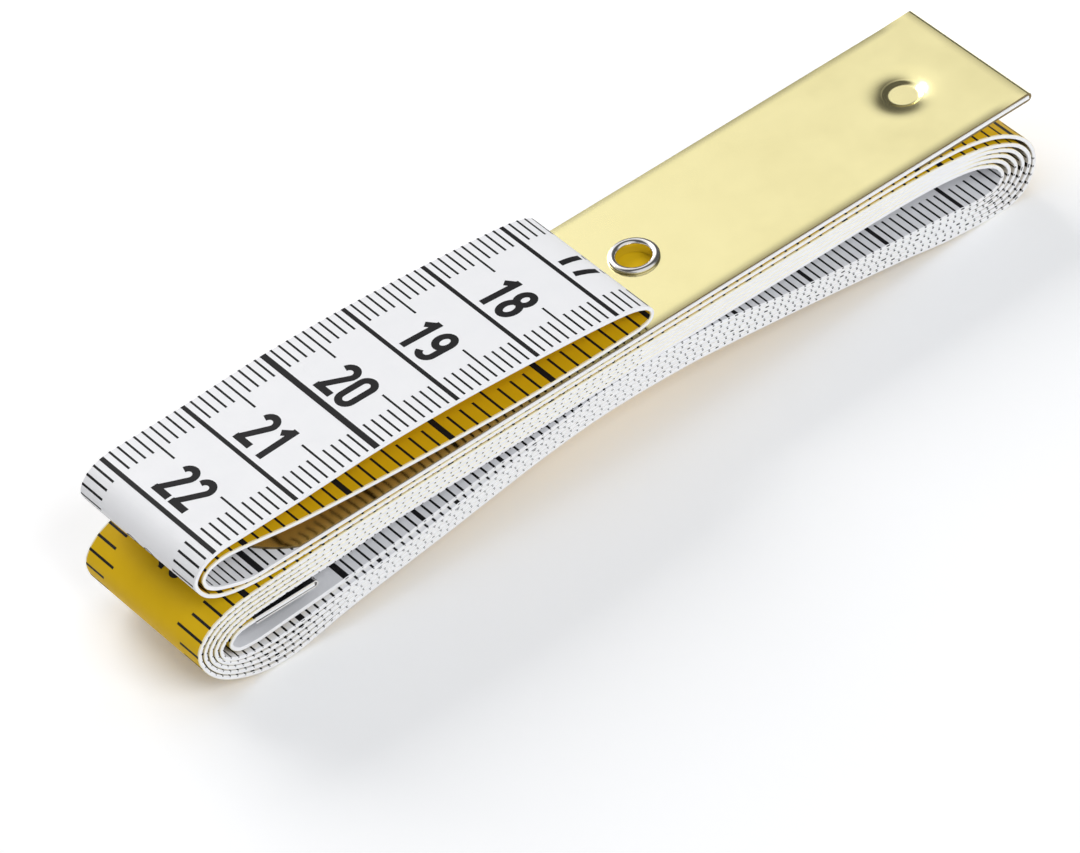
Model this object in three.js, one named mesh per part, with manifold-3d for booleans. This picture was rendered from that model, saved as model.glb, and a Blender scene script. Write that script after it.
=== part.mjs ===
// A tailor's cloth tape measure, wound into a flat roll with a folded loop and a brass end plate on top.
// Millimetres, +Z up. X runs along the roll towards the plate's free end, Y across the tape.
// The origin is the middle of the footprint, on the table.

import * as THREE from 'three';
import { mergeVertices } from 'three/addons/utils/BufferGeometryUtils.js';
import Module from 'manifold-3d';

// The tape: a woven cloth ribbon with a white coat on one face and a yellow coat on the other.
const tapeWidth = 19;
const whiteCoat = 0.13;
const clothWeave = 0.2;
const yellowCoat = 0.13;

// Clearances: between turns, between resting pieces, across a fold, and where metal is clinched on tape.
const turnGap = 0.45;
const restGap = 0.3;
const foldGap = 0.3;
const seatGap = 0.05;

// The brass end plate, folded round the tape's first end.
const plateLength = 100;
const plateThickness = 0.3;
const plateEdgeInset = 0.1;
const plateEndRound = 5.3;
const returnLeaf = 15;

// The dimple pressed into the plate, and the eyelet through it.
const dimpleFromEnd = 9.3;
const dimpleRim = 4.4;
const dimpleSlope = 0.9;
const dimpleDepth = 0.45;
const eyeletFromEnd = 45;
const eyeletHole = 3.7;
const eyeletWall = 0.25;
const eyeletFlange = 0.6;
const eyeletCrown = 0.5;
const eyeletCurl = 0.25;

// The roll under the plate, measured over its outer turn.
const plateOverhang = 0.3;
const rollPastPlate = 8.3;
const rollHeight = 11.5;
const waistThickness = 5.8;
const waistFromLeft = 51;
const archPower = 1.5;
const rightMiddle = 4.6;
const rightTopRun = 12.2;
const rightFootRun = 4.7;
const rightFoot = 5;
const leftMiddle = 6.7;
const leftTopRun = 6.8;
const leftTopDrop = 0.75;
const leftFootRun = 11.3;
const leftFoot = 4;

// The loop folded on the plate.
const loopRise = 6;
const loopShortOfEyelet = 2.1;
const outerFoldInset = 1.2;

// The clip on the tape's inner end.
const clipLength = 7.4;
const clipSheet = 0.2;

// Facets.
const roundFacets = 32;
const stepsPerSpan = 3;
const bulgeSteps = 9;
const archSteps = 20;

// Places that follow from the sizes above.
const tapeThickness = whiteCoat + clothWeave + yellowCoat;
const rollLength = plateLength - plateOverhang + rollPastPlate;
const plateEnd = (rollLength + plateOverhang) / 2;
const plateInner = plateEnd - plateLength;
const plateTop = rollHeight + restGap + tapeThickness + 2 * plateThickness;
const plateUnder = plateTop - plateThickness;
const endFold = plateThickness + tapeThickness / 2;
const leafUnder = plateTop - 2 * endFold;
const dimpleX = plateEnd - dimpleFromEnd;
const eyeletX = plateEnd - eyeletFromEnd;
const eyeletBarrel = eyeletHole / 2 + eyeletWall;
const eyeletRim = eyeletBarrel + eyeletFlange;
const rollRight = plateEnd - plateOverhang;
const rollLeft = rollRight - rollLength;
const waistX = rollLeft + waistFromLeft;
const waistMiddle = rollHeight - waistThickness / 2;
const outerFoldLeft = rollLeft + outerFoldInset;
const innerFoldLeft = outerFoldLeft + 2 * tapeThickness + turnGap;
const loopRight = eyeletX - eyeletRim - loopShortOfEyelet;
const loopFoot = plateTop + restGap;
const loopTop = plateTop + loopRise;

const mix = THREE.MathUtils.lerp;
const left = (distance) => rollLeft + distance;
const right = (distance) => rollRight - distance;
const inRoll = (share) => rollHeight * share;
const inLoop = (share) => mix(loopFoot, loopTop, share);
const foldMiddle = inLoop(0.42);
const point = (x, z) => new THREE.Vector2(x, z);

const wasm = await Module();
wasm.setup();

// Side-view lines

// A smooth line through hand-chosen points.
function smoothLine(points) {
  const curve = new THREE.CatmullRomCurve3(points.map((p) => new THREE.Vector3(p.x, p.y, 0)));
  return curve.getPoints(stepsPerSpan * (points.length - 1)).map((p) => point(p.x, p.y));
}

// A quarter of an ellipse about a centre, between two angles a right angle apart.
function quarter(centre, run, rise, fromDegrees, toDegrees) {
  const line = [];
  for (let i = 0; i <= bulgeSteps; i += 1) {
    const angle = THREE.MathUtils.degToRad(mix(fromDegrees, toDegrees, i / bulgeSteps));
    line.push(point(centre.x + run * Math.cos(angle), centre.y + rise * Math.sin(angle)));
  }
  return line;
}

// The line moved sideways, to the left of its direction of travel.
function moved(line, distance) {
  return line.map((p, i) => {
    const before = line[Math.max(i - 1, 0)];
    const after = line[Math.min(i + 1, line.length - 1)];
    const along = after.clone().sub(before).normalize();
    return point(p.x - along.y * distance, p.y + along.x * distance);
  });
}

// The roll's underside, which rises from its two feet to the waist.
function underside(fromX, toX) {
  const rise = rollHeight - waistThickness;
  const line = [];
  for (let i = 0; i <= archSteps; i += 1) {
    const x = mix(fromX, toX, i / archSteps);
    const span = x > waistX ? fromX - waistX : waistX - toX;
    line.push(point(x, rise * (1 - Math.pow(Math.abs(x - waistX) / span, archPower))));
  }
  return line;
}

// The yellow face of the outer turn, once round the roll from its top left.
function rollOutline() {
  const leftTop = rollHeight - leftTopDrop;
  const crown = point(right(rightTopRun), rightMiddle);
  const heel = point(right(rightFootRun), rightMiddle);
  const toe = point(left(leftFootRun), leftMiddle);
  const shoulder = point(left(leftTopRun), leftMiddle);
  const start = leftTopRun + 8;
  const finish = leftTopRun + 2.5;
  return [
    point(left(start), rollHeight),
    ...quarter(crown, rightTopRun, rollHeight - rightMiddle, 90, 0),
    ...quarter(heel, rightFootRun, rightMiddle, 0, -90).slice(1),
    ...underside(heel.x - rightFoot, toe.x + leftFoot),
    ...quarter(toe, leftFootRun, leftMiddle, 270, 180),
    ...quarter(shoulder, leftTopRun, leftTop - leftMiddle, 180, 90).slice(1),
    point(left(finish), leftTop - seatGap),
  ];
}

// The yellow face of the stretch that comes down from the outer fold to the roll's top.
function foldToRoll() {
  const landing = left(leftTopRun + 5);
  const along = (share) => mix(outerFoldLeft + tapeThickness, landing, share);
  const down = (share) => mix(rollHeight, foldMiddle, share);
  return smoothLine([
    point(along(0), foldMiddle - foldGap / 2),
    point(along(0.04), down(0.63)),
    point(along(0.13), down(0.4)),
    point(along(0.26), down(0.24)),
    point(along(0.45), down(0.14)),
    point(along(0.7), down(0.06)),
    point(along(1), down(0.01)),
  ]);
}

// The white face of the innermost turn, from under the packed turns to the tape's inner end.
function innerTurnLine() {
  const mouth = turnGap / 2;
  const nearLeft = left(18);
  const nearRight = right(18);
  const west = (share) => mix(nearLeft, waistX, share);
  const east = (share) => mix(waistX, nearRight, share);
  return smoothLine([
    point(nearLeft, inRoll(0.665)),
    point(west(0.42), inRoll(0.695)),
    point(west(0.73), waistMiddle - mouth / 2),
    point(waistX, waistMiddle + mouth),
    point(east(0.28), waistMiddle + 1.3 * mouth),
    point(east(0.64), inRoll(0.775)),
    point(nearRight, inRoll(0.752)),
    point(right(11.5), inRoll(0.71)),
    point(right(7.5), inRoll(0.622)),
    point(right(5.2), inRoll(0.5)),
    point(right(4.65), inRoll(0.395)),
    point(right(5.4), inRoll(0.313)),
    point(right(7.6), inRoll(0.287)),
    point(right(12.5), inRoll(0.335)),
    point(nearRight, inRoll(0.395)),
    point(east(0.64), inRoll(0.556)),
    point(east(0.28), waistMiddle - 1.5 * mouth),
    point(waistX, waistMiddle - mouth),
    point(west(0.76), waistMiddle - 3.2 * mouth),
    point(west(0.58), inRoll(0.63)),
    point(west(0.39), inRoll(0.543)),
    point(west(0.21), inRoll(0.465)),
    point(nearLeft, inRoll(0.413)),
    point(left(10.5), inRoll(0.378)),
    point(left(6.8), inRoll(0.37)),
    point(left(4.9), inRoll(0.409)),
    point(left(4.35), inRoll(0.487)),
    point(left(5), inRoll(0.565)),
    point(left(6.8), inRoll(0.602)),
    point(left(10), inRoll(0.604)),
    point(left(14.4), inRoll(0.604)),
  ]);
}

// The left end of the hollow in the packed turns, round the innermost bend, from its floor to its roof.
function packPocket(roof) {
  return smoothLine([
    point(left(8), inRoll(0.29)),
    point(left(5), inRoll(0.305)),
    point(left(3.2), inRoll(0.39)),
    point(left(2.9), inRoll(0.495)),
    point(left(3.8), mix(inRoll(0.495), roof, 0.6)),
    point(left(6.2), mix(inRoll(0.495), roof, 0.97)),
    point(left(8), roof),
    point(left(11), roof),
    point(left(15), roof),
  ]);
}

// The white face of the loop, from the inner fold along the plate, round its bend and back to the outer fold.
function loopLine() {
  const crest = inLoop(0.89) - 2 * tapeThickness - turnGap;
  const inner = (share) => mix(innerFoldLeft, loopRight, share);
  const outer = (share) => mix(outerFoldLeft, loopRight, share);
  const drop = (share) => mix(loopFoot, crest, share);
  return smoothLine([
    point(innerFoldLeft, foldMiddle + foldGap / 2),
    point(innerFoldLeft + 0.4, mix(foldMiddle, crest, 0.53)),
    point(innerFoldLeft + 1.4, mix(foldMiddle, crest, 0.88)),
    point(innerFoldLeft + 2.9, crest),
    point(inner(0.1), drop(0.9)),
    point(inner(0.2), drop(0.65)),
    point(inner(0.41), drop(0.34)),
    point(inner(0.55), drop(0.17)),
    point(inner(0.7), drop(0.04)),
    point(inner(0.8), loopFoot),
    point(loopRight - 4.2, loopFoot),
    point(loopRight - 1.7, inLoop(0.02)),
    point(loopRight - 0.4, inLoop(0.1)),
    point(loopRight, inLoop(0.25)),
    point(loopRight - 0.5, inLoop(0.42)),
    point(loopRight - 1.9, inLoop(0.55)),
    point(loopRight - 4.6, inLoop(0.65)),
    point(outer(0.75), inLoop(0.83)),
    point(outer(0.58), inLoop(0.955)),
    point(outer(0.4), inLoop(1)),
    point(outer(0.23), inLoop(0.95)),
    point(outerFoldLeft + 6, inLoop(0.94)),
    point(outerFoldLeft + 3.3, inLoop(0.91)),
    point(outerFoldLeft + 1.4, inLoop(0.79)),
    point(outerFoldLeft + 0.3, inLoop(0.6)),
    point(outerFoldLeft, foldMiddle + foldGap / 2),
  ]);
}

// The white face of the strip under the plate, from the plate's free end to the inner fold.
function endStripLine() {
  const along = (share) => mix(plateInner, innerFoldLeft, share);
  const rise = (share) => mix(plateUnder, foldMiddle, share);
  const bend = smoothLine([
    point(along(-0.4), plateUnder),
    point(along(0), plateUnder),
    point(along(0.23), rise(0.06)),
    point(along(0.58), rise(0.28)),
    point(along(0.84), rise(0.53)),
    point(along(0.965), rise(0.76)),
    point(innerFoldLeft, foldMiddle - foldGap / 2),
  ]);
  return [point(plateEnd - endFold - seatGap, plateUnder), ...bend];
}

// Solids

// A side-view outline pushed across the tape's width, centred on it.
function acrossTape(outline, width) {
  const shape = new THREE.Shape(outline);
  const geometry = new THREE.ExtrudeGeometry(shape, { depth: width, bevelEnabled: false, steps: 1 });
  geometry.rotateX(Math.PI / 2);
  return geometry.translate(0, width / 2, 0);
}

// One layer of a tape strip, between two distances to the left of its line.
function layer(line, near, far) {
  return acrossTape([...moved(line, near), ...moved(line, far).reverse()], tapeWidth);
}

// A round solid about an upright axis at x.
function turned(profile, x) {
  return new THREE.LatheGeometry(profile, roundFacets).rotateX(Math.PI / 2).translate(x, 0, 0);
}

// A plain upright cutter through the plate and its strip at x.
function drill(radius, x) {
  const cylinder = new THREE.CylinderGeometry(radius, radius, 2 * plateTop, roundFacets);
  return solid(cylinder.rotateX(Math.PI / 2).translate(x, 0, plateTop));
}

function solid(geometry) {
  const bare = geometry.clone();
  bare.deleteAttribute('normal');
  bare.deleteAttribute('uv');
  const merged = mergeVertices(bare);
  const mesh = new wasm.Mesh({
    numProp: 3,
    vertProperties: new Float32Array(merged.attributes.position.array),
    triVerts: new Uint32Array(merged.index.array),
  });
  return new wasm.Manifold(mesh);
}

function toGeometry(manifold) {
  const mesh = manifold.getMesh();
  const geometry = new THREE.BufferGeometry();
  geometry.setAttribute('position', new THREE.BufferAttribute(mesh.vertProperties, 3));
  geometry.setIndex(new THREE.BufferAttribute(mesh.triVerts, 1));
  geometry.computeVertexNormals();
  return geometry;
}

// The plate's side view: a sheet, folded under the tape's end into a short return leaf.
function plateFold() {
  const foldX = plateEnd - endFold;
  const foldZ = plateTop - endFold;
  const profile = new THREE.Shape();
  profile.moveTo(plateInner, plateTop);
  profile.lineTo(foldX, plateTop);
  profile.absarc(foldX, foldZ, endFold, Math.PI / 2, -Math.PI / 2, true);
  profile.lineTo(plateEnd - returnLeaf, leafUnder);
  profile.lineTo(plateEnd - returnLeaf, leafUnder + plateThickness);
  profile.lineTo(foldX, leafUnder + plateThickness);
  profile.absarc(foldX, foldZ, tapeThickness / 2, -Math.PI / 2, Math.PI / 2, false);
  profile.lineTo(plateInner, plateUnder);
  return profile.getPoints(6);
}

// The plate's plan: square at the free end and round at the inner one.
function platePlan(halfWidth) {
  const radius = (halfWidth ** 2 + plateEndRound ** 2) / (2 * plateEndRound);
  const angle = Math.atan2(halfWidth, radius - plateEndRound);
  const plan = new THREE.Shape();
  plan.moveTo(plateEnd + endFold, -halfWidth);
  plan.lineTo(plateEnd + endFold, halfWidth);
  plan.absarc(plateInner + radius, 0, radius, Math.PI - angle, Math.PI + angle, false);
  return plan;
}

function endPlate() {
  const plateWidth = tapeWidth - 2 * plateEdgeInset;
  const sheet = solid(acrossTape(plateFold(), plateWidth));
  const plan = platePlan(plateWidth / 2);
  const block = new THREE.ExtrudeGeometry(plan, { depth: 2 * plateTop, bevelEnabled: false, curveSegments: 10 });
  const rim = dimpleRim / 2;
  const floor = rim - dimpleSlope;
  const floorZ = plateTop - dimpleDepth;
  const recess = turned([
    point(0, floorZ),
    point(floor, floorZ),
    point(rim, plateTop),
    point(rim, plateTop + plateThickness),
    point(0, plateTop + plateThickness),
  ], dimpleX);
  const cup = turned([
    point(0, leafUnder + plateThickness / 2),
    point(floor, leafUnder + plateThickness / 2),
    point(floor + plateThickness, floorZ),
    point(rim + plateThickness, plateTop - plateThickness / 2),
    point(0, plateTop - plateThickness / 2),
  ], dimpleX);
  const dimpled = sheet.intersect(solid(block)).add(solid(cup)).subtract(solid(recess));
  return toGeometry(dimpled.subtract(drill(eyeletBarrel + seatGap, eyeletX)));
}

// The eyelet: a short barrel with a rounded rim on the plate and a curled edge under the tape.
function eyelet() {
  const bore = eyeletHole / 2;
  const seat = plateTop + seatGap;
  const under = plateUnder - tapeThickness - seatGap;
  const curl = under - eyeletCurl;
  return turned([
    point(bore, mix(curl, under, 0.3)),
    point(eyeletBarrel, curl),
    point(mix(eyeletBarrel, eyeletRim, 0.7), mix(curl, under, 0.3)),
    point(mix(eyeletBarrel, eyeletRim, 0.85), under),
    point(eyeletBarrel, under),
    point(eyeletBarrel, seat),
    point(eyeletRim, seat),
    point(mix(bore, eyeletRim, 0.95), seat + 0.5 * eyeletCrown),
    point(mix(bore, eyeletRim, 0.7), seat + 0.9 * eyeletCrown),
    point(mix(bore, eyeletRim, 0.5), seat + eyeletCrown),
    point(mix(bore, eyeletRim, 0.25), seat + 0.85 * eyeletCrown),
    point(bore, seat + 0.4 * eyeletCrown),
    point(bore, mix(curl, under, 0.3)),
  ], eyeletX);
}

// The clip: a strip of bright sheet bent round the tape's inner end.
function tailClip(tip) {
  const inside = tapeThickness + 2 * seatGap;
  const low = tip.y - seatGap;
  const front = tip.x + seatGap;
  const back = front + clipSheet - clipLength;
  return acrossTape([
    point(back, low),
    point(back, low - clipSheet),
    point(front + clipSheet / 2, low - clipSheet),
    point(front + clipSheet, low - clipSheet / 2),
    point(front + clipSheet, low + inside + clipSheet / 2),
    point(front + clipSheet / 2, low + inside + clipSheet),
    point(back, low + inside + clipSheet),
    point(back, low + inside),
    point(front, low + inside),
    point(front, low),
  ], tapeWidth);
}

// The least gap between stretches of one strip that are well apart along it.
function leastGap(whiteLine, apart) {
  const middle = moved(whiteLine, tapeThickness / 2).map((p) => new THREE.Vector3(p.x, p.y, 0));
  const even = new THREE.CatmullRomCurve3(middle, false, 'chordal');
  const total = even.getLength();
  const count = Math.round(2 * total);
  const points = even.getSpacedPoints(count);
  let least = Infinity;
  for (let i = 0; i <= count; i += 1) {
    for (let j = i + Math.ceil((apart * count) / total); j <= count; j += 1) {
      least = Math.min(least, points[i].distanceTo(points[j]));
    }
  }
  return least - tapeThickness;
}

// Pieces

const tapeMeasure = new THREE.Group();

function piece(name, geometry, material) {
  const mesh = new THREE.Mesh(geometry, material);
  mesh.name = name;
  tapeMeasure.add(mesh);
}

const finish = (color, roughness, metalness) => new THREE.MeshStandardMaterial({ color, roughness, metalness });
const whiteFinish = () => finish(0xf2f2f2, 0.5, 0);
const clothFinish = () => finish(0xe9e6da, 0.9, 0);
const yellowFinish = () => finish(0xd0a41c, 0.5, 0);

// The three layers of a strip, counted to the left of its white face.
function strip(name, whiteLine, cut = (geometry) => geometry) {
  const clothTop = whiteCoat + clothWeave;
  piece(`${name}_white_coat`, cut(layer(whiteLine, 0, whiteCoat)), whiteFinish());
  piece(`${name}_cloth`, cut(layer(whiteLine, whiteCoat, clothTop)), clothFinish());
  piece(`${name}_yellow_coat`, cut(layer(whiteLine, clothTop, tapeThickness)), yellowFinish());
}

// The roll: an outer turn, the packed turns inside it, and the loose innermost turn with its clip.
const outline = rollOutline();
const outerTurn = moved([...foldToRoll(), ...outline], -tapeThickness);
const innerTurn = innerTurnLine();
const tapeTip = innerTurn[innerTurn.length - 1];
strip('outer_turn', outerTurn);
strip('inner_turn', innerTurn);
piece('tail_clip', tailClip(tapeTip), finish(0xc8c9cc, 0.3, 1));

const packOutside = moved(outline, -tapeThickness - turnGap);
const packInside = moved(innerTurn, tapeThickness + restGap);
const pocketStart = packInside.findIndex((p, i) => i > packInside.length / 2 && p.x < left(12));
const pocketRoof = tapeTip.y + tapeThickness + seatGap + clipSheet + restGap;
const packHollow = [...packInside.slice(0, pocketStart), ...packPocket(pocketRoof)];
const packBlock = solid(acrossTape(packOutside, tapeWidth));
const packCut = solid(acrossTape(packHollow, 2 * tapeWidth));
piece('packed_turns', toGeometry(packBlock.subtract(packCut)), whiteFinish());

// The folded loop on the plate.
const loop = loopLine();
strip('loop', loop);

// The stiff end: the strip under the plate, the plate and the eyelet.
const dimpleClearance = drill(dimpleRim / 2 + plateThickness + restGap, dimpleX);
const barrelClearance = drill(eyeletBarrel + seatGap, eyeletX);
const punched = (geometry) => toGeometry(solid(geometry).subtract(dimpleClearance).subtract(barrelClearance));
strip('end_strip', endStripLine(), punched);
piece('end_plate', endPlate(), finish(0xe6d691, 0.25, 1));
piece('eyelet', eyelet(), finish(0xd8d8d6, 0.2, 1));

console.log(`outer turn: least gap to itself ${leastGap(outerTurn, 30).toFixed(2)} mm`);
console.log(`inner turn: least gap to itself ${leastGap(innerTurn, 12).toFixed(2)} mm`);
console.log(`loop: least gap to itself ${leastGap(loop, 12).toFixed(2)} mm`);

export default tapeMeasure;
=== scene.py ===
# %% [markdown]
# # A cloth tape measure, wound flat
# The real object is one long ribbon: a woven tape with a white coat on one face and a yellow coat on
# the other, printed with two scales. It is wound into a flat roll. Its last stretch folds over the top,
# and a long brass plate stiffens its free end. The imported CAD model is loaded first, as a fixed frame
# that says where every piece is, so nothing here has to be fitted by eye.

# %% Load the frame and keep its box
import math

import bmesh
import bpy
import numpy as np
from mathutils import Euler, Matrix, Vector
from mathutils.geometry import delaunay_2d_cdt
from mathutils.kdtree import KDTree


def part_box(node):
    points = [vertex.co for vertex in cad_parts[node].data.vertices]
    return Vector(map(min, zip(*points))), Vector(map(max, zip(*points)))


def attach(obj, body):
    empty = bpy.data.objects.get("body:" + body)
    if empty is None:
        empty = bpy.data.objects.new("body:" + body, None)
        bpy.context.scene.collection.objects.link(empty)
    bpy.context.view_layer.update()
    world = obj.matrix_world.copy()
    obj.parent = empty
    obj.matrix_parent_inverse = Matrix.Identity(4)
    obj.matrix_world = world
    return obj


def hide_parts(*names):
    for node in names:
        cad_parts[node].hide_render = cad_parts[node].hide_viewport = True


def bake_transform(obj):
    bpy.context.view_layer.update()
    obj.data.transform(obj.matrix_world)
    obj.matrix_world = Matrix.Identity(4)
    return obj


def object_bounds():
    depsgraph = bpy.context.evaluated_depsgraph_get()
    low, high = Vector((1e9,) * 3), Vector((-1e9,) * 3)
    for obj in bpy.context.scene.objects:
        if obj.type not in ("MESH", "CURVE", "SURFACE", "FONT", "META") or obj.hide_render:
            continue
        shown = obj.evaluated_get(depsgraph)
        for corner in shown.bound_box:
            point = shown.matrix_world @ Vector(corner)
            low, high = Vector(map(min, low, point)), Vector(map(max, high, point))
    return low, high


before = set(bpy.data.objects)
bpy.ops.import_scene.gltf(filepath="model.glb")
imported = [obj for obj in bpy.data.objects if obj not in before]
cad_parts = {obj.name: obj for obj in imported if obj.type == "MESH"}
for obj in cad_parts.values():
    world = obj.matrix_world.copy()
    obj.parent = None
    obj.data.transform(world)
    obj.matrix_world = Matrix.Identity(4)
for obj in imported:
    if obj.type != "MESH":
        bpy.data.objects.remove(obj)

cad_box = [list(corner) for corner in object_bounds()]
MM = 0.001
plate_low, plate_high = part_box("end_plate")
eyelet_low, eyelet_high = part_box("eyelet")
clip_low, clip_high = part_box("tail_clip")
print("CAD box in mm:", [[round(v / MM, 2) for v in corner] for corner in cad_box])

# %% [markdown]
# ## Places
# Every length below is in millimetres, counted from the plate's free end (x), the tape's middle (y) and
# the plate's top (z). That is how one would measure the real roll with a ruler laid along the plate. One
# function turns such places into metres in the frame.

# %% From ruler places to the frame
tape_width = 19.0
half_width = tape_width / 2
tape_thick = 0.43
half_thick = tape_thick / 2


def in_frame(x, y, z):
    """Ruler places in mm, as an array of points in metres."""
    x, y, z = np.broadcast_arrays(*(np.asarray(v, float) for v in (x, y, z)))
    return np.stack([plate_high.x + x * MM, y * MM, plate_high.z + z * MM], -1)


plate_length = (plate_high.x - plate_low.x) / MM
eyelet_x = ((eyelet_low.x + eyelet_high.x) / 2 - plate_high.x) / MM
print("plate", round(plate_length, 2), "mm long, eyelet at", round(eyelet_x, 2), "mm")

# %% [markdown]
# ## The tape's route
# Seen from the side, the whole tape is one line: under the plate, round the inner fold, along the loop
# and back, round the outer fold, then six times round the roll to its inner end. A spline through given
# points gives a smooth bend everywhere. The loop's points follow the white face of the tape.

# %% A smooth line through points
def smooth(points, step=0.1):
    """A centripetal spline through the points, of any dimension, with a point about every step."""
    p = np.asarray(points, float)
    p = np.vstack([2 * p[0] - p[1], p, 2 * p[-1] - p[-2]])
    line = []
    for a, b, c, d in zip(p, p[1:], p[2:], p[3:]):
        gaps = [math.sqrt(np.linalg.norm(f - e)) for e, f in ((a, b), (b, c), (c, d))]
        t0, t1, t2, t3 = np.cumsum([0, *gaps])
        count = max(2, int(np.linalg.norm(c - b) / step))
        t = np.linspace(t1, t2, count, endpoint=False)[:, None]
        ab = ((t1 - t) * a + (t - t0) * b) / (t1 - t0)
        bc = ((t2 - t) * b + (t - t1) * c) / (t2 - t1)
        cd = ((t3 - t) * c + (t - t2) * d) / (t3 - t2)
        abc = ((t2 - t) * ab + (t - t0) * bc) / (t2 - t0)
        bcd = ((t3 - t) * bc + (t - t1) * cd) / (t3 - t1)
        line.append(((t2 - t) * abc + (t - t1) * bcd) / (t2 - t1))
    return np.vstack([*line, p[-2:-1]])


def aside(line, distance):
    """The side-view line (x, z) moved to the left of its direction of travel."""
    along = np.gradient(line, axis=0)
    along /= np.linalg.norm(along, axis=1)[:, None]
    return line + distance * np.stack([-along[:, 1], along[:, 0]], 1)


# %% The strip under the plate, the loop and the fold down to the roll
strip_line = [(-0.4, -0.32), (-50, -0.32), (-97.7, -0.32), (-100, -0.31), (-101.3, -0.12), (-103.3, 0.54),
              (-104.8, 1.28), (-105.5, 1.96), (-105.73, 2.7), (-105.33, 3.35), (-104.33, 3.79)]
loop_line = [(-102.83, 3.94), (-100.2, 3.58), (-94.7, 2.67), (-83, 1.5), (-75.5, 0.93), (-67, 0.45),
             (-61, 0.3), (-54, 0.3), (-51.5, 0.41), (-50.2, 0.87), (-49.8, 1.72), (-50.3, 2.69),
             (-51.7, 3.43), (-54.4, 4), (-64, 5), (-73.8, 5.72), (-84, 6), (-93.9, 5.67), (-101.1, 5.55)]
fold_line = [(-103.8, 5.45), (-105.7, 4.77), (-106.8, 3.65), (-107.1, 2.7), (-106.4, 1.05), (-105.3, 0.07),
             (-103.6, -0.68), (-101.3, -1.18), (-97.5, -1.48), (-93.5, -1.5)]
free_end = aside(smooth(strip_line + loop_line + fold_line), half_thick)
print("free end drawn with", len(free_end), "points")

# %% [markdown]
# The roll is drawn as a wall: its outermost yellow face and its innermost white face are given at
# matching stations all the way round, and each turn takes its share of the room between them. At the
# right end the first turn stands off from the rest, so the first share is given too.

# %% Stations round the roll
waist_x = -57.3
turns = 6


def bulge(x, z, run, rise):
    """A function that turns degrees into a place on an upright oval, in the side view."""
    def place(degrees):
        angle = math.radians(degrees)
        return x + run * math.cos(angle), z + rise * math.sin(angle)
    return place


crown, heel = bulge(-12.5, -8.26, 12.2, 6.9), bulge(-5, -8.26, 4.7, 4.55)
toe, shoulder = bulge(-98.5, -6.16, 9.8, 6.58), bulge(-101.5, -6.16, 6.8, 4.05)
even = 0.2
roll_top = [(-90.3, -1.02), (-84, -0.95), (-76.4, -0.86), (-66.2, -0.84), (waist_x, -0.84),
            (-46.4, -0.94), (-32.3, -1.03), (-18.3, -1.06), crown(76)]
roof = [(-90.3, -4.55), (-84, -4.2), (-76.4, -4.1), (-66.2, -4.03), (waist_x, -3.93),
        (-46.4, -4.05), (-32.3, -4.15), (-18.3, -4.28), (-11.8, -4.75)]
stand_clear = [0.22, 0.215, 0.22, 0.23, 0.23, 0.236, 0.236, 0.262, 0.36]
bed = [(-18.3, -8.32), (-32.3, -6.47), (-41.5, -4.66), (-46.4, -4.22), (waist_x, -4.13),
       (-65.2, -4.95), (-71.2, -5.6), (-77.4, -6.6), (-83.4, -7.4), (-90.3, -8.05)]
underside = [-11.2, -9.13, -7.86, -7.32, -6.98, -7.62, -8.46, -9.42, -10.25, -11.2]
over = list(zip(roll_top, roof, stand_clear))
right_bend = [(crown(48), (-7.8, -5.71), 0.3), (crown(22), (-5.5, -7.11), even),
              (crown(0), (-4.95, -8.32), 0.15), (heel(-35), (-5.7, -9.26), even),
              (heel(-72), (-7.9, -9.56), even)]
under = [((-12, -12.28), (-12.8, -9.01), even)]
under += [((x, low), (x, z), even) for (x, z), low in zip(bed, underside)]
left_bend = [(toe(270), (-98.5, -9.45)), (toe(245), (-101.65, -9.36)), (toe(215), (-103.9, -8.8)),
             (toe(190), (-105.15, -7.85)), (shoulder(168), (-105.3, -6.9)), (shoulder(138), (-104.4, -5.95)),
             (shoulder(108), (-102.6, -5.2)), ((-98, -1.88), (-98, -4.8))]
tail = [(-97.8, -8.5), (-101.5, -8.6), (-103.4, -8.16), (-103.95, -7.3), (-103.3, -6.46), (-101.5, -6.09),
        (-99.5, -6.04), (-93.9, -6.0)]

# %% [markdown]
# No hand winds a tape perfectly flush. Each pass over the top or the bottom sits a few tenths of a
# millimetre in front of or behind its neighbour, which is why thin slivers of yellow and rows of ink
# dots show along the roll's front edge. The sideways place of each pass is part of the route. The last
# pass slides back towards the tape's inner end, and bares a strip of the pass below it. Soft tape also
# swells into the room it has, so its thickness is a fourth column: pressed at the waist, fuller elsewhere.

# %% Wind the roll
side_over = [-0.08, -0.2, -0.16, -0.13, -0.1, -0.08]
side_under = [-0.3, -0.26, -0.22, -0.18, -0.14, -0.1]
set_back, set_back_from, set_back_over = 0.52, -62, 14
fullest, room_used = 0.62, 0.985
lead_step, lead_spare = 8, 3


def faces_of(stations):
    """Middle lines of the outermost and innermost turn at these stations."""
    outer = aside(np.array([s[0] for s in stations]), -half_thick)
    inner = aside(np.array([s[1] for s in stations]), half_thick)
    return outer, inner


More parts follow.
